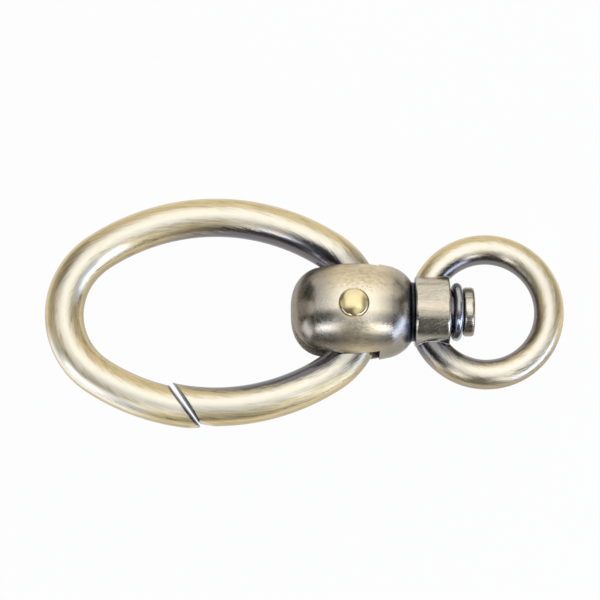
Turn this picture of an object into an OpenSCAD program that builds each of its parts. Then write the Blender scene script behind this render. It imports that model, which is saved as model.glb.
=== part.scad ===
// Carabiner keyring: a sprung oval on a ball clevis that swivels on a round eye.
// Millimetres, +Z up. The origin is the middle of the eye and the oval lies on -X.

/* [Oval] */
// Diameter of the round rod
rod_d = 6; // [4.5:0.1:7]
// Outside length of the oval
oval_l = 52.3; // [46:0.1:60]
// Outside width of the oval
oval_w = 36.2; // [33:0.1:42]
// Middle-line radius of the oval's two ends
end_r = 11.6; // [10:0.1:12]
// How far the oval's right end passes the hinge, on the middle line
end_past_hinge = 1.7; // [1:0.1:2.2]

/* [Mouth] */
// Distance from the hinge to the gate's end face
gate_reach = 29.3; // [27:0.1:32]
// Slant of the cut
cut_turn = 33.5; // [30:0.1:38]
// Gap between the gate's end and the bow's end
mouth_gap = 0.15; // [0.1:0.05:0.5]
// Angle by which the mouth widens toward the inside
mouth_flare = 3.6; // [2:0.1:4.5]
// Angle by which each end face at the mouth slopes back above and below its middle
mouth_slope = 7; // [4:0.5:9]
// Depth of the flat that breaks the outer corner of each end
corner_flat = 0.5; // [0.2:0.05:0.7]
// How far that flat leans from the rod's outer side, in degrees
corner_lean = 10; // [6:1:14]
// How far the shut gate stands inside the oval, in degrees
gate_inset = 0.8; // [0:0.1:2]
// How far the bow is set outward in the ball, in degrees
bow_set = 0.5; // [0:0.1:1]
// How far the gate opens, in degrees
gate_open = 32; // [20:1:36]

/* [Ball] */
// Distance from the hinge to the middle of the eye
hinge_to_eye = 20.45; // [19.5:0.05:24]
// Largest diameter of the ball
ball_d = 15.4; // [14.8:0.1:18]
// Radius of the ball's rounded ends
ball_end_r = 5.4; // [5:0.05:5.7]
// Distance from the hinge to the middle of each rounded end
ball_end_x = 4.4; // [4:0.1:4.8]
// Distance from the swivel axis to the middle of each rounded end
ball_end_off = 1.8; // [1.4:0.05:2]
// Distance from the hinge to the ball's flat face
ball_face_x = 8.9; // [8.4:0.05:9.2]
// Distance from the hinge to the end of the slot
slot_end_x = 4; // [3.8:0.05:4.4]
// Gap on each side between the rod and the slot
slot_gap = 0.15; // [0.05:0.01:0.4]

/* [Hinge] */
// Rivet shank diameter
rivet_d = 2.6; // [2:0.1:2.8]
// Rivet head diameter
head_d = 4.3; // [3.6:0.1:5]
// Height of a rivet head above its seat
head_h = 1; // [0.6:0.05:1.3]
// Edge radius of a rivet head
head_edge_r = 0.35; // [0.2:0.05:0.45]
// Depth of the seat below the ball's widest point
seat_depth = 0.4; // [0.2:0.05:0.6]
// Gap between a rivet head and the wall of its seat
seat_gap = 0.15; // [0.05:0.01:0.3]
// Radius of the knuckles on the rivet
knuckle_r = 3.2; // [3:0.1:3.4]
// Thickness of each of the bow's two lugs
lug_t = 1.2; // [0.9:0.05:1.4]
// Half width of the bow's lugs
lug_half_w = 2.4; // [2:0.1:2.8]
// Length of the heel that stops the gate when it is open
heel_l = 3.2; // [2.6:0.1:3.4]
// Running clearance of the hinge and the swivel
run = 0.05; // [0.03:0.01:0.1]
// Clearance of pressed and riveted pieces
fit = 0.02; // [0.01:0.01:0.03]

/* [Gate spring] */
// Spring wire diameter
wire_d = 0.5; // [0.4:0.05:0.55]
// Rise of the coil in one turn
coil_pitch = 0.95; // [0.9:0.01:1]
// Whole turns of the coil before its legs part
coil_turns = 2; // [1:1:2]
// Length of the leg in the gate
gate_leg_l = 5; // [4:0.1:6]
// Depth of the bow leg in the bow
bow_leg_depth = 1.2; // [0.8:0.1:1.6]
// Angle of each leg from the Y axis
leg_lean = 30; // [20:1:35]
// Clearance round the spring
spring_gap = 0.1; // [0.08:0.01:0.2]

/* [Swivel eye] */
// Inside diameter of the eye
eye_inner_d = 15; // [14:0.1:17]
// Diameter of the eye's rod
eye_rod_d = 4.6; // [4:0.1:5.4]
// Outside diameter of the collar
collar_d = 10.9; // [10.5:0.1:12]
// Length of the collar
collar_l = 5.4; // [4.8:0.1:5.8]
// Edge radius of the collar
collar_edge_r = 0.4; // [0.2:0.05:0.6]

/* [Post] */
// Diameter of the post
post_d = 7.6; // [7.2:0.1:7.8]
// Running clearance of the post in the collar
post_run = 0.1; // [0.05:0.01:0.1]
// Diameter of the tail in the ball
tail_d = 5; // [4.4:0.1:5.4]
// Width of the riveted flare at the tail's end
flare = 0.5; // [0.3:0.05:0.7]
// Length of the disc at the post's end
cap_l = 1.75; // [1.4:0.05:2]
// Edge radius of that disc
cap_edge_r = 0.5; // [0.3:0.05:0.65]
// Diameter of the thrust washer
washer_d = 9.2; // [8.8:0.1:9.3]
// Thickness of the thrust washer
washer_t = 0.5; // [0.4:0.05:0.7]

/* [Snap ring] */
// Ring wire diameter
ring_wire_d = 1.45; // [1.2:0.05:1.6]
// Outside diameter of the ring
ring_d = 9.05; // [8.8:0.05:9.4]
// Tilt of the ring in its groove
ring_tilt = 3; // [0:0.1:3.5]
// Opening of the split ring, in degrees
ring_split = 24; // [12:1:40]
// Gap between the collar and the tilted ring
ring_play = 0.18; // [0.12:0.01:0.3]

/* [Hidden] */
$fn = 96;
tiny = 0.01;
hair = 0.02;
big = 100;
hinge_x = -hinge_to_eye;
rod_r = rod_d / 2;
ball_r = ball_d / 2;

// The oval is four tangent arcs: two ends and two sides.
half_l = (oval_l - rod_d) / 2;
half_w = (oval_w - rod_d) / 2;
side_r = (half_l ^ 2 + half_w ^ 2 - 2 * half_l * end_r) / (2 * (half_w - end_r));
end_off = half_l - end_r;
side_off = side_r - half_w;
join_turn = atan2(side_off, end_off);
oval_x = end_past_hinge - half_l;
limb_start = asin(0.75 * knuckle_r / end_r);

// Where a cut that faces turn, at reach from the hinge, comes out on the outer side of the lower rod
function mouth_corner(turn, reach) =
  let(middle = [oval_x, side_off],
      facing = [cos(turn), sin(turn)],
      along = [sin(turn), -cos(turn)] * sign(cos(turn)),
      off = reach - middle * facing)
    middle + off * facing + sqrt((side_r + rod_r) ^ 2 - off ^ 2) * along;

// The side arcs are a hair thinner and lap into the end arcs, so that all four join as one solid.
lap = 0.5;

// Radius of the flat arc that runs without a step into edge arcs of radius edge_r, whose middles lie
// half_span to each side and crown below its top
function crown_r(half_span, crown, edge_r) =
  (half_span ^ 2 + crown ^ 2 - edge_r ^ 2) / (2 * (crown - edge_r));

// The ball's outline is a barrel arc that runs into both rounded ends.
barrel_r = crown_r(ball_end_x, ball_r - ball_end_off, ball_end_r);
barrel_turn = asin(ball_end_x / (barrel_r - ball_end_r));
left_turn = 90;
face_turn = asin((ball_face_x - ball_end_x) / ball_end_r);
ball_steps = 48;
function ball_point(turn) = abs(turn) < barrel_turn
  ? [barrel_r * cos(turn) - barrel_r + ball_r, barrel_r * sin(turn)]
  : [ball_end_r * cos(turn) + ball_end_off, ball_end_r * sin(turn) + sign(turn) * ball_end_x];
ball_outline = [for (i = [0 : ball_steps])
  ball_point(-left_turn + (left_turn + face_turn) * i / ball_steps)];

// Hinge layers, counted from the middle plane
slot_half = rod_r + slot_gap;
lug_out = slot_half - fit;
lug_in = lug_out - lug_t;
tongue_half = lug_in - run;
stop_x = slot_end_x - run;
heel_start = 0.3;
fork_r = norm([stop_x, heel_l]) + 3 * run;
limb_clear_r = knuckle_r + 3 * run;
gate_bore_d = rivet_d + 2 * run;
press_bore_d = rivet_d + 2 * fit;

// Rivet heads
seat_z = ball_r - seat_depth;
head_rim_h = head_h / 3;
head_edge_x = head_d / 2 - head_edge_r;
dome_r = crown_r(head_edge_x, head_h - head_rim_h, head_edge_r);
dome_turn = asin(head_edge_x / (dome_r - head_edge_r));
head_steps = 24;
function head_point(turn) = turn < dome_turn
  ? [dome_r * sin(turn), dome_r * cos(turn) - dome_r + head_h]
  : [head_edge_r * sin(turn) + head_edge_x, head_edge_r * cos(turn) + head_rim_h];
head_outline = [for (i = [0 : head_steps]) head_point(90 * i / head_steps)];

// Spring: the gate leg, a coil that rises counterclockwise, the bow leg
coil_r = (gate_bore_d + wire_d) / 2 + spring_gap;
pocket_r = coil_r + wire_d / 2 + 2 * spring_gap;
coil_sweep = 360 * coil_turns + 2 * leg_lean;
coil_rise = coil_pitch * coil_sweep / 360;
coil_z = tongue_half - spring_gap - wire_d / 2 - coil_rise;
pocket_z = coil_z - wire_d / 2 - spring_gap;
bow_leg_l = sqrt(fork_r ^ 2 - coil_r ^ 2) + bow_leg_depth;
leg_hole_d = wire_d + 2 * spring_gap;
coil_steps = 44;
wire_sides = 8;

// Where a leg leaves the coil, and which way it points: side is 1 for the bow's, -1 for the gate's
function leg_foot(side) = [coil_r * cos(leg_lean), side * coil_r * sin(leg_lean),
                           side > 0 ? coil_z + coil_rise : coil_z];
function leg_dir(side) = [-sin(leg_lean), side * cos(leg_lean), 0];
function coil_point(t) = [coil_r * cos(coil_sweep * t - leg_lean),
                          coil_r * sin(coil_sweep * t - leg_lean),
                          coil_z + coil_rise * t];
spring_path = concat(
  [leg_foot(-1) + gate_leg_l * leg_dir(-1)],
  [for (i = [0 : coil_steps]) coil_point(i / coil_steps)],
  [leg_foot(1) + bow_leg_l * leg_dir(1)]);

// Direction of the wire at a point of its path, and level direction square to it
function unit(v) = v / norm(v);
function path_dir(i) =
  let(n = len(spring_path) - 1)
    unit(spring_path[min(i + 1, n)] - spring_path[max(i - 1, 0)]);
function ring_out(i) = unit(cross(path_dir(i), [0, 0, 1]));

// Least gap of the coil to itself, between points at least half a turn apart
half_turn = ceil(coil_steps * 180 / coil_sweep);
coil_gap = min([for (i = [0 : coil_steps], j = [0 : coil_steps])
  if (j - i >= half_turn)
    norm(coil_point(i / coil_steps) - coil_point(j / coil_steps)) - wire_d]);
echo(gate_spring_least_gap = coil_gap);

// Swivel stack along X
eye_r = (eye_inner_d + eye_rod_d) / 2;
face_x = hinge_x + ball_face_x;
shoulder_x = face_x + washer_t;
collar_x = shoulder_x + run;
ring_r = (ring_d - ring_wire_d) / 2;
ring_reach = ring_wire_d / 2 + ring_r * sin(ring_tilt);
ring_x = collar_x + collar_l + ring_play + ring_reach;
groove_w = 2 * (ring_reach + fit);
groove_r = ring_r - ring_wire_d / 2 - run;
cap_x = ring_x + groove_w / 2;

// Frames and helpers

module at_hinge() {
  translate([hinge_x, 0, 0])
    children();
}

module along_x(x) {
  translate([x, 0, 0])
    rotate([0, 90, 0])
      children();
}

// Half space on the far side of a plane, seen from the hinge. The slope leans the plane over.
module beyond(turn, reach, slope = 0) {
  rotate([0, 0, turn])
    translate([reach, 0, 0])
      rotate([0, slope, 0])
        translate([0, -big / 2, -big / 2])
          cube(big);
}

// Half spaces that end a limb at the mouth: the slanted cut, whose upper and lower half slope back,
// and the flat on its outer corner
module mouth_end(turn, reach, lean) {
  corner = mouth_corner(turn, reach);
  flat_turn = atan2(corner.y - side_off, corner.x - oval_x) + lean;
  beyond(turn, reach, mouth_slope);
  beyond(turn, reach, -mouth_slope);
  beyond(flat_turn, corner * [cos(flat_turn), sin(flat_turn)] - corner_flat);
}

// Disc with rounded edges, standing on the XY plane
module soft_disc(r, h, edge_r) {
  rotate_extrude() {
    square([r - edge_r, h]);
    translate([0, edge_r])
      square([r, h - 2 * edge_r]);
    translate([r - edge_r, edge_r])
      circle(edge_r);
    translate([r - edge_r, h - edge_r])
      circle(edge_r);
  }
}

// The oval

// One end arc of the rod, on the right or the left
module end_arc(side, from, to) {
  translate([oval_x + side * end_off, 0, 0])
    rotate(from)
      rotate_extrude(angle = to - from)
        translate([end_r, 0])
          circle(d = rod_d);
}

// One side arc of the rod, above or below. It laps a little way inside the end arcs.
module side_arc(side, from, to) {
  translate([oval_x, -side * side_off, 0])
    rotate(from - lap)
      rotate_extrude(angle = to - from + 2 * lap)
        translate([side_r, 0])
          circle(d = rod_d - hair);
}

module bow_rod() {
  end_arc(1, limb_start, join_turn);
  side_arc(1, join_turn, 180 - join_turn);
  end_arc(-1, 180 - join_turn, 180 + join_turn);
  difference() {
    side_arc(-1, 180 + join_turn, 270);
    mouth_end(cut_turn + mouth_flare - bow_set, -gate_reach - mouth_gap, corner_lean);
  }
}

module bow_lugs() {
  for (s = [0, 1])
    mirror([0, 0, s])
      translate([0, 0, lug_in])
        linear_extrude(lug_t) {
          circle(knuckle_r);
          translate([-lug_half_w, 0])
            square([2 * lug_half_w, fork_r]);
        }
}

module bow() {
  color("goldenrod")
    at_hinge()
      difference() {
        union() {
          difference() {
            rotate(bow_set)
              bow_rod();
            cylinder(r = fork_r, h = 2 * lug_in, center = true);
            beyond(0, stop_x);
          }
          bow_lugs();
        }
        cylinder(d = press_bore_d, h = big, center = true);
        leg_hole(1, bow_leg_l);
      }
}

module gate_rod() {
  difference() {
    side_arc(-1, 180 + join_turn, 360 - join_turn);
    mouth_end(180 + cut_turn + gate_inset, gate_reach, -corner_lean);
  }
  end_arc(1, -join_turn, -limb_start);
}

// The tongue turns between the bow's lugs, and its heel stops it when it is open.
module gate_tongue() {
  linear_extrude(2 * tongue_half, center = true) {
    circle(knuckle_r);
    rotate(gate_open)
      translate([0, heel_start])
        square([stop_x, heel_l - heel_start]);
  }
}

module spring_pocket() {
  translate([0, 0, pocket_z]) {
    cylinder(r = pocket_r, h = rod_d);
    translate([-big, 0, 0])
      cube([big + coil_r * cos(leg_lean), big, rod_d]);
  }
}

module gate() {
  color("darkkhaki")
    at_hinge()
      difference() {
        union() {
          difference() {
            rotate(-gate_inset)
              gate_rod();
            for (s = [0, 1])
              mirror([0, 0, s])
                translate([0, 0, tongue_half])
                  cylinder(r = limb_clear_r, h = rod_d);
            beyond(0, stop_x);
          }
          gate_tongue();
        }
        cylinder(d = gate_bore_d, h = big, center = true);
        spring_pocket();
        leg_hole(-1, gate_leg_l);
      }
}

// The hinge

module ball() {
  along_x(0)
    rotate_extrude()
      polygon(concat([[0, ball_outline[0][1]]], ball_outline, [[0, ball_face_x]]));
}

module swivel_body() {
  color("slategray")
    at_hinge()
      difference() {
        ball();
        translate([slot_end_x - big, -big / 2, -slot_half])
          cube([big, big, 2 * slot_half]);
        cylinder(d = press_bore_d, h = big, center = true);
        for (s = [0, 1])
          mirror([0, 0, s])
            translate([0, 0, seat_z])
              cylinder(d = head_d + 2 * seat_gap, h = ball_r);
        along_x(0)
          cylinder(d = tail_d + 2 * fit, h = big);
        along_x(slot_end_x)
          cylinder(d1 = tail_d + 2 * (flare + fit), d2 = tail_d + 2 * fit, h = flare);
      }
}

module rivet_head() {
  rotate_extrude()
    polygon(concat(head_outline, [[head_d / 2, 0], [0, 0]]));
}

module hinge_rivet() {
  color("khaki")
    at_hinge() {
      cylinder(d = rivet_d, h = 2 * seat_z, center = true);
      for (s = [0, 1])
        mirror([0, 0, s])
          translate([0, 0, seat_z])
            rivet_head();
    }
}

// Hole for a spring leg: side is 1 for the bow's and -1 for the gate's.
module leg_hole(side, l) {
  translate(leg_foot(side))
    rotate([-90 * side, 0, leg_lean * side])
      cylinder(d = leg_hole_d, h = l + spring_gap);
}

module gate_spring() {
  sides = [for (i = [0 : wire_sides - 1]) 360 * i / wire_sides];
  rings = [for (i = [0 : len(spring_path) - 1])
    let(out = ring_out(i), up = cross(path_dir(i), out))
      for (a = sides) spring_path[i] + wire_d / 2 * (cos(a) * out + sin(a) * up)];
  last = len(rings) - wire_sides;
  walls = [for (i = [0 : len(spring_path) - 2], j = [0 : wire_sides - 1])
    let(a = i * wire_sides + j, b = i * wire_sides + (j + 1) % wire_sides)
      [a, a + wire_sides, b + wire_sides, b]];
  ends = [[for (j = [0 : wire_sides - 1]) j],
          [for (j = [wire_sides - 1 : -1 : 0]) last + j]];
  color("silver")
    at_hinge()
      polyhedron(rings, concat(walls, ends));
}

// The swivel

module swivel_post() {
  color("tan") {
    along_x(hinge_x + slot_end_x) {
      cylinder(d = tail_d, h = shoulder_x - hinge_x - slot_end_x);
      cylinder(d1 = tail_d + 2 * flare, d2 = tail_d, h = flare);
    }
    along_x(shoulder_x)
      cylinder(d = post_d, h = cap_x - groove_w - shoulder_x);
    along_x(shoulder_x)
      cylinder(r = groove_r, h = cap_x - shoulder_x + cap_l / 2);
    along_x(cap_x)
      soft_disc(post_d / 2, cap_l, cap_edge_r);
  }
}

module thrust_washer() {
  color("dimgray")
    along_x(face_x)
      difference() {
        soft_disc(washer_d / 2, washer_t, washer_t / 4);
        cylinder(d = tail_d + 2 * run, h = big, center = true);
      }
}

module snap_ring() {
  color("gray")
    translate([ring_x, 0, 0])
      rotate([0, ring_tilt, 0])
        along_x(0)
          rotate(ring_split / 2)
            rotate_extrude(angle = 360 - ring_split)
              translate([ring_r, 0])
                circle(d = ring_wire_d);
}

module swivel_eye() {
  color("burlywood")
    difference() {
      union() {
        difference() {
          rotate_extrude()
            translate([eye_r, 0])
              circle(d = eye_rod_d);
          beyond(180, -collar_x);
        }
        along_x(collar_x)
          soft_disc(collar_d / 2, collar_l, collar_edge_r);
      }
      along_x(collar_x - big / 2)
        cylinder(d = post_d + 2 * post_run, h = big / 2 + collar_l + tiny);
    }
}

bow();
gate();
swivel_body();
hinge_rivet();
gate_spring();
swivel_post();
thrust_washer();
snap_ring();
swivel_eye();
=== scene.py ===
"""Carabiner keyring in brushed antique brass: finishes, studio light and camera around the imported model."""

import math

import bpy
from mathutils import Matrix, Vector


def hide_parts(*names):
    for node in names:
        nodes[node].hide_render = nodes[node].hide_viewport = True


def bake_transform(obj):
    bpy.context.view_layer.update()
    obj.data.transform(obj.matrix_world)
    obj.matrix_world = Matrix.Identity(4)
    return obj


MM = 0.001
X_AXIS = Vector((1, 0, 0))

# Camera: where it looks, how far it stands, how far it leans from straight above and how much it shows
VIEW_TARGET = Vector((-28.65, 1.89, 0)) * MM
VIEW_DISTANCE = 390 * MM
VIEW_LEAN = math.radians(11)
VIEW_WIDTH = 92.76 * MM
SENSOR_WIDTH = 36

# Middle lines of the rods: centre, half length along X, half width along Y, and the rod's radius
OVAL_CENTRE_X = -41.9 * MM
OVAL_HALF_LENGTH = 23.15 * MM
OVAL_HALF_WIDTH = 15.1 * MM
OVAL_ROD_R = 3 * MM
EYE_R = 9.8 * MM
EYE_ROD_R = 2.3 * MM

# Hinge, and the slanted cut as it lies from the hinge
HINGE_X = -20.45 * MM
CUT_TURN = math.radians(36.6)
CUT_REACH = -29.45 * MM
CUT_SLOPE = math.tan(math.radians(7))

# Collar of the eye, how softly its finish gives way to the rod's, and its wear, polish and plating, which
# grows where the collar turns upright and is painted shade there as well
COLLAR_X = -8.35 * MM
COLLAR_R = 5.45 * MM
COLLAR_END_X = -5.65 * MM
COLLAR_BLEND_R = 0.15 * MM
COLLAR_BLEND_X = 0.3 * MM
COLLAR_WEAR = 0.6
COLLAR_POLISH = 0.8
COLLAR_UPRIGHT = (0.7, 0.2)
COLLAR_PLATING_AND_SHADE = (0.36, 0.95)
COLLAR_FRAY = 0.2

# Noise: the middle of what its node gives
NOISE_MIDDLE = 0.5

# Brush lines: how often they change along a piece and round it, how strongly they show, the lengths that
# these counts go by on turned pieces and the ball, how long their rings on the ball are, their depth and
# detail, and how far they draw highlights out, which happens a quarter turn from the lines
COARSE_LINES = (5.0, 8.0)
FINE_LINES = (9.0, 22.0)
COARSE_SHARE = 1.6
FINE_SHARE = 2.2
TURNED_UNIT = 14 * MM
BALL_UNIT = 3 * MM
BALL_STRETCH = 1.3
LINE_DEPTH = 0.045 * MM
LINE_STRENGTH = 0.5
LINE_DETAIL = 4.0
LINE_SPREAD = 0.5
QUARTER_TURN = 0.25

# Cloudy grain of smooth metal: the range of noise that shades it, and how much it changes the roughness
CLOUD_RANGE = (0.3, 0.7)
CLOUD_ROUGHNESS = 0.15

# Finish by flatness, which is 1 where the metal faces the brush and 0 on upright sides: where it is worn
# pale, which is a painted highlight as well, where the brush leaves it smooth, where painted shade darkens
# the gold on upright sides and by how much, and the lines' own tones
WORN_AND_HIGHLIGHT_FLAT = (0.86, 1.0)
SMOOTH_FLAT = (0.8, 0.45)
PAINTED_SHADE_FLAT = (0.6, 0.15)
PAINTED_SIDE_SHADES = (1.0, 0.66)
LINE_RANGE = (-0.5, 0.5)
LINE_SHADES = (0.64, 1.0)
LINE_ROUGHNESS = 0.12
POLISHED_ROUGH = 0.18
POLISH_FILLS_LINES = 0.9

# Painted highlights, pale and smoother than the rod round them: which way they lie from the loop's middle,
# how near that way they start and are full, and where they start, are full, fade and end across the rod,
# from -1 on its outer side to 1 on its inner side
OVAL_OUTER_GLINT = {"toward": (-0.76, -0.65, 0), "near": (0.84, 0.96), "side": (-0.98, -0.88, -0.65, -0.4)}
OVAL_INNER_GLINT = {"toward": (-0.9, 0.44, 0), "near": (0.89, 0.97), "side": (0.35, 0.5, 0.66, 0.78)}
EYE_GLINT = {"toward": (0.71, -0.71, 0), "near": (0.7, 0.95), "side": (-0.82, -0.72, -0.64, -0.54)}
EYE_GLINT_SHARE = 0.6
GLINT_POLISH = 0.3

# Dark plating and painted shade: their colour, as red, green, blue and alpha
PLATING_AND_SHADE_COLOUR = (0.13, 0.13, 0.155, 1)

# Dark plating and painted shade set in between these distances, from the hinge, the cut, the collar or the
# ball's pale part
OVAL_INNER = (10 * MM, 34 * MM)
OVAL_THROAT = (11 * MM, 8 * MM)
CUT_SHADE_LINE = (0.4 * MM, 0.22 * MM)
EYE_INNER = (5 * MM, 16 * MM)
EYE_ROOT_SHADE = (12 * MM, 6.5 * MM)
EYE_ROOT_SHADE_Y = (-3 * MM, -5 * MM)
BALL_PALE_X = 1 * MM
BALL_SHADE_LEAN = 0.2
BALL_ENDS = (1.5 * MM, 6.4 * MM)
BALL_NECK_SHADE = (7 * MM, 8.4 * MM)

# Plating by the way a face turns: how far inward it starts, near the ball or collar and far from it, which
# faces count as cut ends, dark with plating and painted shade, and which as the eye's lower flank, with
# painted shade
OVAL_INNER_START = (0.15, 1.05)
EYE_INNER_START = (0.2, 0.65)
INNER_EDGE = (-0.25, 0.25)
END_PLATING_AND_SHADE = (0.4, 0.6)
EYE_FLANK_SHADE = (-0.2, -0.5)

# Share of the metal that the plating and the painted shade cover where they are fullest
OVAL_INNER_SHARE = 0.92
OVAL_THROAT_SHARE = 0.5
EYE_INNER_SHARE = 0.85
EYE_ROOT_SHADE_SHARE = 0.9
EYE_FLANK_SHADE_SHARE = 0.4
COLLAR_CORNER_SHARE = 0.5
BALL_ENDS_SHARE = 0.62
BALL_ENDS_POLISH = 0.4

# Brush lines fray the edges of the plating and of the painted shade, by a share or by a length
FRAY = 0.1
SIDE_FRAY = 0.15
INNER_FRAY = 0.5
ROD_FRAY = 2 * MM
BALL_FRAY = 1.6 * MM
NECK_FRAY = 0.8 * MM

# Corners keep their plating: how far they reach, how much open space clears it, and by how many rays
# that space is found
OVAL_CORNER = 3 * MM
EYE_CORNER = 2 * MM
BALL_CORNER = 2 * MM
POST_CORNER = 1.5 * MM
ROD_OPEN = (0.3, 0.65)
TURNED_OPEN = (0.25, 0.6)
CORNER_RAYS = 12

# Radius to which edges look worn and by how many rays they are found, angle above which an edge counts as
# sharp, and reach that joins vertices
EDGE_R = 0.2 * MM
EDGE_RAYS = 6
SHARP_ANGLE = math.radians(30)
JOIN_REACH = 0.001 * MM

# Studio: the floor, low enough for the eye to turn clear of it, and how far its bright part reaches
FLOOR_Z = -EYE_R - EYE_ROD_R
FLOOR_RADIUS = 3
FLOOR_WHITE = 0.9
FLOOR_GLOW = 0.95
FLOOR_BRIGHT_R = 75 * MM
FLOOR_DIM_R = 170 * MM
FLOOR_DIM = 0.35
ROOM_GREY = 0.06
LAMP_DISTANCE = 0.6
LOW_LAMP_DISTANCE = 0.5
WHITE = (1, 1, 1)
PALE_BLUE = (0.87, 0.94, 1.1)
SKY_BLUE = (0.62, 0.78, 1.2)

# Places of the Mix node's first input and of its output, for each kind of value
MIX_SOCKETS = {"VECTOR": (4, 1), "RGBA": (6, 2)}


class Value:
    """A number or vector that runs between shader nodes. Its operators add Math nodes."""

    def __init__(self, graph, socket):
        self.graph = graph
        self.socket = socket

    def __add__(self, other):
        return self.graph.math("ADD", self, other)

    def __sub__(self, other):
        return self.graph.math("SUBTRACT", self, other)

    def __rsub__(self, other):
        return self.graph.math("SUBTRACT", other, self)

    def __mul__(self, other):
        return self.graph.math("MULTIPLY", self, other)

    def __truediv__(self, other):
        return self.graph.math("DIVIDE", self, other)

    def __neg__(self):
        return self.graph.math("MULTIPLY", self, -1.0)

    def __abs__(self):
        return self.graph.math("ABSOLUTE", self)


class Graph:
    """The shader nodes of one material, added by calls that return what each node gives."""

    def __init__(self, tree):
        self.tree = tree
        tree.nodes.clear()

    def plug(self, socket, value):
        if isinstance(value, Value):
            self.tree.links.new(value.socket, socket)
        else:
            socket.default_value = value

    def node(self, kind, inputs=None, **settings):
        made = self.tree.nodes.new("ShaderNode" + kind)
        for name, value in settings.items():
            setattr(made, name, value)
        for name, value in (inputs or {}).items():
            self.plug(made.inputs[name], value)
        return made

    def get(self, kind, output, inputs=None, **settings):
        return Value(self, self.node(kind, inputs, **settings).outputs[output])

    def math(self, operation, *values):
        return self.get("Math", 0, dict(enumerate(values)), operation=operation)

    def most(self, first, *others):
        """The largest of some values."""
        for other in others:
            first = self.math("MAXIMUM", first, other)
        return first

    def vector(self, operation, *values):
        output = "Value" if operation in ("DOT_PRODUCT", "DISTANCE") else "Vector"
        return self.get("VectorMath", output, dict(enumerate(values)), operation=operation)

    def pack(self, x, y, z):
        return self.get("CombineXYZ", 0, {"X": x, "Y": y, "Z": z})

    def unpack(self, vector):
        made = self.node("SeparateXYZ", {0: vector})
        return [Value(self, out) for out in made.outputs]

    def ramp(self, value, low, high, to_low=0.0, to_high=1.0, shape="SMOOTHSTEP"):
        """Change of value from the range low to high to another range, held at its ends."""
        inputs = {"Value": value, "From Min": low, "From Max": high, "To Min": to_low, "To Max": to_high}
        return self.get("MapRange", "Result", inputs, interpolation_type=shape)

    def mix(self, share, a, b, kind="RGBA"):
        first, result = MIX_SOCKETS[kind]
        return self.get("Mix", result, {"Factor": share, first: a, first + 1: b}, data_type=kind)

    def noise(self, vector, scale, w=0.0, detail=3.0, roughness=0.6):
        inputs = {"Vector": vector, "W": w, "Scale": scale, "Detail": detail, "Roughness": roughness}
        return self.get("TexNoise", "Fac", inputs, noise_dimensions="4D")


def rgb(red, green, blue):
    return (red, green, blue, 1)


def new_material(name):
    material = bpy.data.materials.new(name)
    material.use_nodes = True
    return material, Graph(material.node_tree)


def finish_material(g, shader):
    out = g.node("OutputMaterial")
    g.tree.links.new(shader.outputs[0], out.inputs["Surface"])


def position(g):
    """Place on the node at rest, and its normal there."""
    return g.get("TexCoord", "Object"), g.get("TexCoord", "Normal")


def loop_field(g, centre_x, half_length, half_width, rod_r):
    """Coordinates of a rod that is bent round in a loop: its direction, brush lines and inner side.

    The brush lines wind round the rod once in each turn of the loop.
    """
    place, normal = position(g)
    x, y, z = g.unpack(place)
    across_x = (x - centre_x) / half_length
    across_y = y / half_width
    out = g.math("SQRT", across_x * across_x + across_y * across_y)
    along = g.vector("NORMALIZE", g.pack(-(across_y / half_width), across_x / half_length, 0.0))
    inner_way = g.vector("NORMALIZE", g.pack(-(across_x / half_length), -(across_y / half_width), 0.0))
    turn = g.math("ARCTAN2", across_y, across_x)
    cos = g.math("COSINE", turn)
    sin = g.math("SINE", turn)
    outward = (out - 1.0) * (half_length + half_width) / 2 / rod_r
    upward = z / rod_r
    return {
        "along": along, "inward": g.vector("DOT_PRODUCT", normal, inner_way),
        "round": g.pack(across_x / out, across_y / out, outward * cos - upward * sin),
        "w": outward * sin + upward * cos,
        "x": x, "y": y, "z": z, "place": place, "normal": normal}


def turned_field(g):
    """Coordinates of a piece turned about the X axis, with brush lines that run along it."""
    place, normal = position(g)
    x, y, z = g.unpack(place)
    radius = g.math("SQRT", y * y + z * z)
    along = g.vector("NORMALIZE", g.vector("CROSS_PRODUCT", normal, g.pack(0.0, -z, y)))
    return {"along": along, "round": g.pack(x / TURNED_UNIT, 0.0, y / radius), "w": z / radius,
            "normal": normal, "radius": radius}


def painted_glint_patch(g, rod, toward, near, side):
    """A painted highlight, where a rod is made pale: toward one way from the loop's middle, on one side of
    the rod.
    """
    start, full, fading, end = side
    nearness = g.vector("DOT_PRODUCT", rod["round"], toward)
    return g.ramp(nearness, *near) * g.ramp(rod["inward"], start, full) * g.ramp(rod["inward"], end, fading)


def oval_field(g):
    """The oval's rod, with painted highlights on both sides of its far end."""
    rod = loop_field(g, OVAL_CENTRE_X, OVAL_HALF_LENGTH, OVAL_HALF_WIDTH, OVAL_ROD_R)
    painted_glint = [painted_glint_patch(g, rod, **glint_place) for glint_place in (OVAL_OUTER_GLINT, OVAL_INNER_GLINT)]
    return {**rod, "painted_glint": g.most(*painted_glint)}


def eye_field(g):
    """The eye's rod with a painted highlight on its outer side, and lines along X on its collar."""
    rod = loop_field(g, 0.0, EYE_R, EYE_R, EYE_ROD_R)
    collar = turned_field(g)
    near_axis = g.ramp(collar["radius"], COLLAR_R + COLLAR_BLEND_R, COLLAR_R)
    sleeve = near_axis * g.ramp(rod["x"], COLLAR_END_X + COLLAR_BLEND_X, COLLAR_END_X)
    lines = {key: g.mix(sleeve, rod[key], collar[key], "VECTOR") for key in ("along", "round")}
    painted_glint = painted_glint_patch(g, rod, **EYE_GLINT) * EYE_GLINT_SHARE
    return {**rod, **lines, "sleeve": sleeve, "painted_glint": painted_glint}


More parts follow.
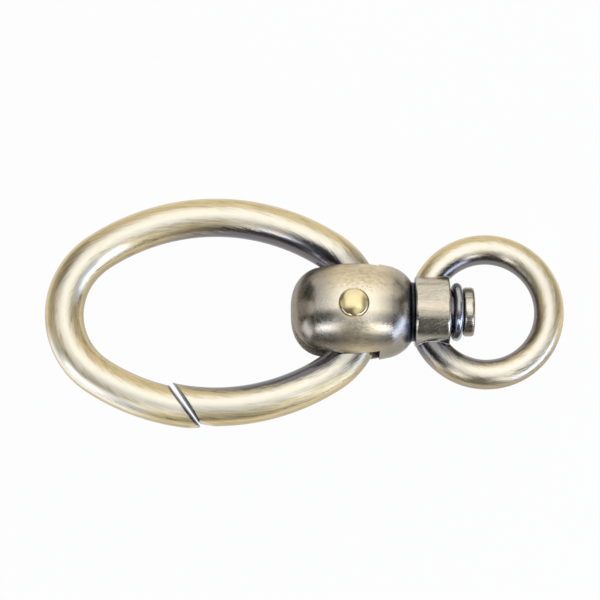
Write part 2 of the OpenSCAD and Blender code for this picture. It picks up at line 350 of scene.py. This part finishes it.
def ball_field(g):
    """Coordinates of the ball, with brush lines that run round the rivet."""
    place, normal = position(g)
    x, y, z = g.unpack(place)
    across = (x - HINGE_X) / BALL_STRETCH
    radius = g.math("SQRT", across * across + y * y)
    along = g.vector("NORMALIZE", g.pack(y * -BALL_STRETCH, across, 0.0))
    return {"along": along, "round": g.pack(across / radius, y / radius, radius / BALL_UNIT),
            "w": g.math("SIGN", z), "x": x, "y": y, "normal": normal}


def flatness(g, field):
    """1 where the metal faces the brush, 0 on upright sides."""
    return abs(g.unpack(field["normal"])[2])


def brush_lines(g, field, slow, fast):
    """Noise drawn out along the piece: slow along it and fast round it."""
    stretched = g.vector("MULTIPLY", field["round"], (slow, slow, fast))
    return g.noise(stretched, 1.0, field["w"] * fast, detail=LINE_DETAIL)


def unbrushed(g, field, streak):
    """Share of smooth metal: the sides of a rod, which the brush hardly touches."""
    return g.ramp(flatness(g, field) + streak * SIDE_FRAY, *SMOOTH_FLAT)


def occluded(g, reach, open_range, streak):
    """1 in corners closer than reach, 0 on open faces."""
    open_share = g.get("AmbientOcclusion", "AO", {"Distance": reach}, samples=CORNER_RAYS)
    return 1.0 - g.ramp(open_share + streak * FRAY, *open_range)


def oval_plating_and_shade(g, field, streak):
    """Dark plating on the inner side, more and more so toward the ball, and in the slot; darker all round the
    rods near the ball; plating and painted shade on the cut ends, and painted shade along the slanted cut.
    """
    away = g.vector("DISTANCE", field["place"], (HINGE_X, 0, 0))
    start = g.ramp(away, *OVAL_INNER, *OVAL_INNER_START, "LINEAR")
    inner = g.ramp(field["inward"] + streak * INNER_FRAY - start, *INNER_EDGE)
    throat = g.ramp(away + streak * ROD_FRAY, *OVAL_THROAT)
    corner = occluded(g, OVAL_CORNER, ROD_OPEN, streak)
    # The cut ends take the dark plating, which also paints the shade in the gap between them
    end_plating_and_shade = g.ramp(abs(g.vector("DOT_PRODUCT", field["normal"], field["along"])), *END_PLATING_AND_SHADE)
    # Painted shade: a dark line along the slanted cut, where y is below zero
    reach = (field["x"] - HINGE_X) * math.cos(CUT_TURN) + field["y"] * math.sin(CUT_TURN)
    from_cut = abs(reach + abs(field["z"]) * CUT_SLOPE - CUT_REACH)
    cut_shade_line = g.ramp(from_cut, *CUT_SHADE_LINE) * g.math("LESS_THAN", field["y"], 0.0)
    dark_share = g.most(inner * OVAL_INNER_SHARE, throat * OVAL_THROAT_SHARE, corner, end_plating_and_shade, cut_shade_line)
    return dark_share, g.most(dark_share, unbrushed(g, field, streak))


def eye_plating_and_shade(g, field, streak):
    """Dark plating on the inner side, and where the collar turns upright, where it is painted shade as well;
    painted shade at the lower root and, less, on the lower flank. The collar is polished.
    """
    away = g.vector("DISTANCE", field["place"], (COLLAR_X, 0, 0))
    start = g.ramp(away, *EYE_INNER, *EYE_INNER_START, "LINEAR")
    inner = g.ramp(field["inward"] + streak * INNER_FRAY - start, *INNER_EDGE)
    # Painted shade at the lower root beside the collar and, less, on the lower flank, cleared by the painted
    # highlight
    root_shade = g.ramp(away + streak * ROD_FRAY, *EYE_ROOT_SHADE) * g.ramp(field["y"], *EYE_ROOT_SHADE_Y)
    flank_shade = g.ramp(g.unpack(field["normal"])[1] + streak * FRAY, *EYE_FLANK_SHADE)
    lower_shade = g.most(root_shade * EYE_ROOT_SHADE_SHARE, flank_shade * EYE_FLANK_SHADE_SHARE) * (1.0 - field["painted_glint"])
    on_rod = 1.0 - field["sleeve"]
    rod = g.most(inner * EYE_INNER_SHARE, lower_shade) * on_rod
    # Plating where the collar turns upright, painted shade there as well
    upright_plating_and_shade = g.ramp(flatness(g, field) + streak * FRAY, *COLLAR_UPRIGHT, *COLLAR_PLATING_AND_SHADE)
    collar = (upright_plating_and_shade - streak * COLLAR_FRAY) * field["sleeve"]
    corner_share = on_rod * (1.0 - COLLAR_CORNER_SHARE) + COLLAR_CORNER_SHARE
    corner = occluded(g, EYE_CORNER, ROD_OPEN, streak) * corner_share
    dark_share = g.most(rod, collar, corner)
    return dark_share, g.most(dark_share, unbrushed(g, field, streak), field["sleeve"] * COLLAR_POLISH)


def ball_plating_and_shade(g, field, streak):
    """The ball keeps its dark plating toward both ends, with painted shade that carries it further below, and
    painted shade in full at its neck.
    """
    along = field["x"] - HINGE_X
    # The pale middle leans up, so painted shade darkens the lower ends further
    from_pale = abs(along - BALL_PALE_X) + streak * BALL_FRAY - field["y"] * BALL_SHADE_LEAN
    ends = g.ramp(from_pale, *BALL_ENDS)
    # Painted shade: the neck beside the collar is dark in full
    neck_shade = g.ramp(along + streak * NECK_FRAY, *BALL_NECK_SHADE)
    corner = occluded(g, BALL_CORNER, TURNED_OPEN, streak)
    return g.most(ends * BALL_ENDS_SHARE, neck_shade, corner), ends * BALL_ENDS_POLISH


def post_plating(g, field, streak):
    """Dark in the groove and the corners only."""
    dark_share = occluded(g, POST_CORNER, TURNED_OPEN, streak)
    return dark_share, dark_share


def brass(name, field_of, plating_and_shade_of, worn_and_highlight, brushed, rough):
    """Antique brass: worn pale, also a painted highlight, where it faces the brush; painted shade on upright
    sides; dark plating, and painted shade, where the plating functions give it.
    """
    material, g = new_material(name)
    field = field_of(g)
    coarse = brush_lines(g, field, *COARSE_LINES)
    fine = brush_lines(g, field, *FINE_LINES)
    streak = (coarse - NOISE_MIDDLE) * COARSE_SHARE + (fine - NOISE_MIDDLE) * FINE_SHARE
    dark_share, polish = plating_and_shade_of(g, field, streak)
    flat = flatness(g, field)
    # Worn pale where the metal faces the brush; the same paleness is a painted highlight there
    wear_and_highlight = g.ramp(flat + streak * FRAY, *WORN_AND_HIGHLIGHT_FLAT)
    if "sleeve" in field:
        wear_and_highlight = g.most(wear_and_highlight * (1.0 - field["sleeve"]), field["sleeve"] * COLLAR_WEAR)
    # Painted highlights: pale colour and smoother metal on their patches
    if "painted_glint" in field:
        wear_and_highlight = g.most(wear_and_highlight, field["painted_glint"])
        polish = g.most(polish, field["painted_glint"] * GLINT_POLISH)
    # Tones of the brush lines, times painted shade on the upright sides
    shade = g.ramp(streak, *LINE_RANGE, *LINE_SHADES) * g.ramp(flat, *PAINTED_SHADE_FLAT, *PAINTED_SIDE_SHADES)
    shaded_gold = g.mix(shade, rgb(0, 0, 0), brushed)
    colour = g.mix(dark_share, g.mix(wear_and_highlight, shaded_gold, worn_and_highlight), PLATING_AND_SHADE_COLOUR)
    roughness = streak * LINE_ROUGHNESS + rough - polish * (rough - POLISHED_ROUGH)
    soft = g.get("Bevel", 0, {"Radius": EDGE_R}, samples=EDGE_RAYS)
    height = fine * (1.0 - polish * POLISH_FILLS_LINES)
    bump = g.get("Bump", 0, {
        "Strength": LINE_STRENGTH, "Distance": LINE_DEPTH, "Height": height, "Normal": soft})
    along = g.get("VectorTransform", 0, {0: field["along"]}, convert_from="OBJECT", convert_to="WORLD")
    shader = g.node("BsdfPrincipled", {
        "Base Color": colour, "Metallic": 1.0, "Roughness": roughness, "Normal": bump,
        "Anisotropic": LINE_SPREAD, "Anisotropic Rotation": QUARTER_TURN, "Tangent": along})
    finish_material(g, shader)
    return material


def smooth_metal(name, light, shade, rough, grain):
    """Smooth plated metal with a faint cloudy grain."""
    material, g = new_material(name)
    place, _ = position(g)
    cloud = g.noise(place, grain)
    shader = g.node("BsdfPrincipled", {
        "Base Color": g.mix(g.ramp(cloud, *CLOUD_RANGE), shade, light), "Metallic": 1.0,
        "Roughness": (cloud - NOISE_MIDDLE) * CLOUD_ROUGHNESS + rough})
    finish_material(g, shader)
    return material


def dress(node, material):
    node.data.materials.clear()
    node.data.materials.append(material)


def smoothing():
    """Geometry nodes that join split vertices and shade smooth across all but the sharp edges."""
    group = bpy.data.node_groups.new("smoothing", "GeometryNodeTree")
    for way in ("INPUT", "OUTPUT"):
        group.interface.new_socket("Geometry", in_out=way, socket_type="NodeSocketGeometry")
    start = group.nodes.new("NodeGroupInput")
    joined = group.nodes.new("GeometryNodeMergeByDistance")
    joined.inputs["Distance"].default_value = JOIN_REACH
    turn = group.nodes.new("GeometryNodeInputMeshEdgeAngle")
    sharp = group.nodes.new("FunctionNodeCompare")
    sharp.inputs[1].default_value = SHARP_ANGLE
    shaded = group.nodes.new("GeometryNodeSetMeshNormal")
    shaded.inputs["Remove Custom"].default_value = True
    end = group.nodes.new("NodeGroupOutput")
    group.links.new(start.outputs[0], joined.inputs["Geometry"])
    group.links.new(joined.outputs[0], shaded.inputs["Mesh"])
    group.links.new(turn.outputs["Unsigned Angle"], sharp.inputs[0])
    group.links.new(sharp.outputs[0], shaded.inputs["Edge Sharpness"])
    group.links.new(shaded.outputs[0], end.inputs[0])
    return group


def add_floor():
    """Pale floor that is bright round the object and falls off into the room."""
    mesh = bpy.data.meshes.new("floor")
    r = FLOOR_RADIUS
    corners = [(x, y, FLOOR_Z) for x, y in ((-r, -r), (r, -r), (r, r), (-r, r))]
    mesh.from_pydata(corners, [], [(0, 1, 2, 3)])
    floor = bpy.data.objects.new("floor", mesh)
    bpy.context.scene.collection.objects.link(floor)
    material, g = new_material("floor_white")
    place, _ = position(g)
    away = g.vector("DISTANCE", place, VIEW_TARGET)
    bright = g.ramp(away, FLOOR_BRIGHT_R, FLOOR_DIM_R, 1.0, FLOOR_DIM)
    path = g.node("LightPath")
    seen = [Value(g, path.outputs["Is " + kind + " Ray"]) for kind in ("Camera", "Glossy", "Transmission")]
    shown = g.math("MINIMUM", seen[0] + seen[1] + seen[2], 1.0)
    lit = g.node("BsdfDiffuse", {"Color": bright * FLOOR_WHITE})
    glow = g.node("Emission", {"Color": bright})
    both = g.node("MixShader", {0: shown * FLOOR_GLOW})
    g.tree.links.new(lit.outputs[0], both.inputs[1])
    g.tree.links.new(glow.outputs[0], both.inputs[2])
    finish_material(g, both)
    mesh.materials.append(material)


def add_lamp(name, azimuth, elevation, width, height, radiance, colour=WHITE, distance=LAMP_DISTANCE):
    """Rectangular lamp that faces the object. Azimuth counts from +X toward +Y."""
    turn = math.radians(azimuth)
    rise = math.radians(elevation)
    toward = Vector((math.cos(turn) * math.cos(rise), math.sin(turn) * math.cos(rise), math.sin(rise)))
    lamp = bpy.data.lights.new(name, "AREA")
    lamp.shape = "RECTANGLE"
    lamp.size = width
    lamp.size_y = height
    lamp.energy = radiance * math.pi * width * height
    lamp.color = colour
    holder = bpy.data.objects.new(name, lamp)
    holder.location = VIEW_TARGET + toward * distance
    holder.rotation_euler = toward.to_track_quat("Z", "Y").to_euler()
    bpy.context.scene.collection.objects.link(holder)


def add_room():
    world = bpy.data.worlds.new("room")
    world.use_nodes = True
    background = world.node_tree.nodes["Background"]
    background.inputs["Color"].default_value = rgb(ROOM_GREY, ROOM_GREY, ROOM_GREY)
    bpy.context.scene.world = world


def add_camera():
    back = Vector((0, -math.sin(VIEW_LEAN), math.cos(VIEW_LEAN)))
    data = bpy.data.cameras.new("camera")
    data.sensor_width = SENSOR_WIDTH
    data.lens = SENSOR_WIDTH * VIEW_DISTANCE / VIEW_WIDTH
    camera = bpy.data.objects.new("camera", data)
    camera.location = VIEW_TARGET + back * VIEW_DISTANCE
    camera.rotation_euler = Matrix((X_AXIS, back.cross(X_AXIS), back)).transposed().to_euler()
    bpy.context.scene.collection.objects.link(camera)
    bpy.context.scene.camera = camera


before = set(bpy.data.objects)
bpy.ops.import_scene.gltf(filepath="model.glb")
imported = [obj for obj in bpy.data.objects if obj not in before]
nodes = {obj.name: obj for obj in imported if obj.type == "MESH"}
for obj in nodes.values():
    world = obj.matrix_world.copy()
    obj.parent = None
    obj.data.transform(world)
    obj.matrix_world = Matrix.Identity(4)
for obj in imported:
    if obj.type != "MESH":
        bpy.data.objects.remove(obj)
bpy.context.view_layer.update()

# Finishes
rod_look = {"worn_and_highlight": rgb(0.94, 0.88, 0.73), "brushed": rgb(0.84, 0.68, 0.38), "rough": 0.42}
ball_look = {"worn_and_highlight": rgb(0.96, 0.87, 0.68), "brushed": rgb(0.84, 0.7, 0.46), "rough": 0.34}
post_look = {"worn_and_highlight": rgb(0.72, 0.67, 0.56), "brushed": rgb(0.5, 0.45, 0.36), "rough": 0.24}
oval_brass = brass("oval_brass", oval_field, oval_plating_and_shade, **rod_look)
eye_brass = brass("eye_brass", eye_field, eye_plating_and_shade, **rod_look)
ball_brass = brass("ball_brass", ball_field, ball_plating_and_shade, **ball_look)
post_brass = brass("post_brass", turned_field, post_plating, **post_look)
rivet_brass = smooth_metal(
    "rivet_brass", light=rgb(0.84, 0.71, 0.40), shade=rgb(0.74, 0.61, 0.32), rough=0.24, grain=400.0)
dark_steel = smooth_metal(
    "dark_steel", light=rgb(0.48, 0.47, 0.49), shade=rgb(0.34, 0.34, 0.36), rough=0.26, grain=500.0)
black_steel = smooth_metal(
    "black_steel", light=rgb(0.05, 0.05, 0.055), shade=rgb(0.02, 0.02, 0.025), rough=0.4, grain=500.0)
spring_steel = smooth_metal(
    "spring_steel", light=rgb(0.55, 0.55, 0.56), shade=rgb(0.4, 0.4, 0.41), rough=0.25, grain=900.0)

dress(nodes["bow"], oval_brass)
dress(nodes["gate"], oval_brass)
dress(nodes["swivel_body"], ball_brass)
dress(nodes["hinge_rivet"], rivet_brass)
dress(nodes["swivel_post"], post_brass)
dress(nodes["thrust_washer"], black_steel)
dress(nodes["snap_ring"], dark_steel)
dress(nodes["swivel_eye"], eye_brass)

# Copy of the spring in spring steel, in place of the imported one, which is hidden; on the real thing the
# spring winds up as the gate opens, one leg staying in the bow and the other following the gate
spring = bpy.data.objects.new("winding_spring", nodes["gate_spring"].data.copy())
bpy.context.scene.collection.objects.link(spring)
dress(spring, spring_steel)
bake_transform(spring)
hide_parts("gate_spring")

smooth = smoothing()
for name in ("swivel_body", "hinge_rivet"):
    nodes[name].modifiers.new("smoothing", "NODES").node_group = smooth

add_floor()
add_room()

# Lamps: azimuth and elevation in degrees, width and height in metres, and how bright they look
add_lamp("zenith_softbox", 90, 85, 0.6, 0.24, 1.4)
add_lamp("high_softbox", 90, 62, 0.6, 0.25, 1.2)
add_lamp("middle_softbox", 90, 38, 0.6, 0.24, 1.05)
add_lamp("low_softbox", 90, 13, 0.7, 0.26, 1.1)
add_lamp("back_right_softbox", 42, 26, 0.3, 0.36, 0.9)
add_lamp("right_strip", 0, 6, 0.3, 0.08, 2.2)
add_lamp("right_softbox", 2, 44, 0.3, 0.24, 0.5)
add_lamp("left_softbox", 178, 44, 0.3, 0.24, 0.9)
add_lamp("left_low", 175, 15, 0.3, 0.34, 0.45)
add_lamp("corner_softbox", 315, 70, 0.3, 0.2, 1.0)
add_lamp("left_lamp", 218, 8, 0.27, 0.22, 2.5, PALE_BLUE, LOW_LAMP_DISTANCE)
add_lamp("right_lamp", 324, 11, 0.42, 0.16, 5.0, SKY_BLUE, LOW_LAMP_DISTANCE)
add_lamp("left_spot", 248, 38, 0.14, 0.14, 8.0, PALE_BLUE)
add_lamp("right_spot", 296, 36, 0.14, 0.14, 8.0, PALE_BLUE)
add_camera()
bpy.context.scene.view_settings.view_transform = "Standard"
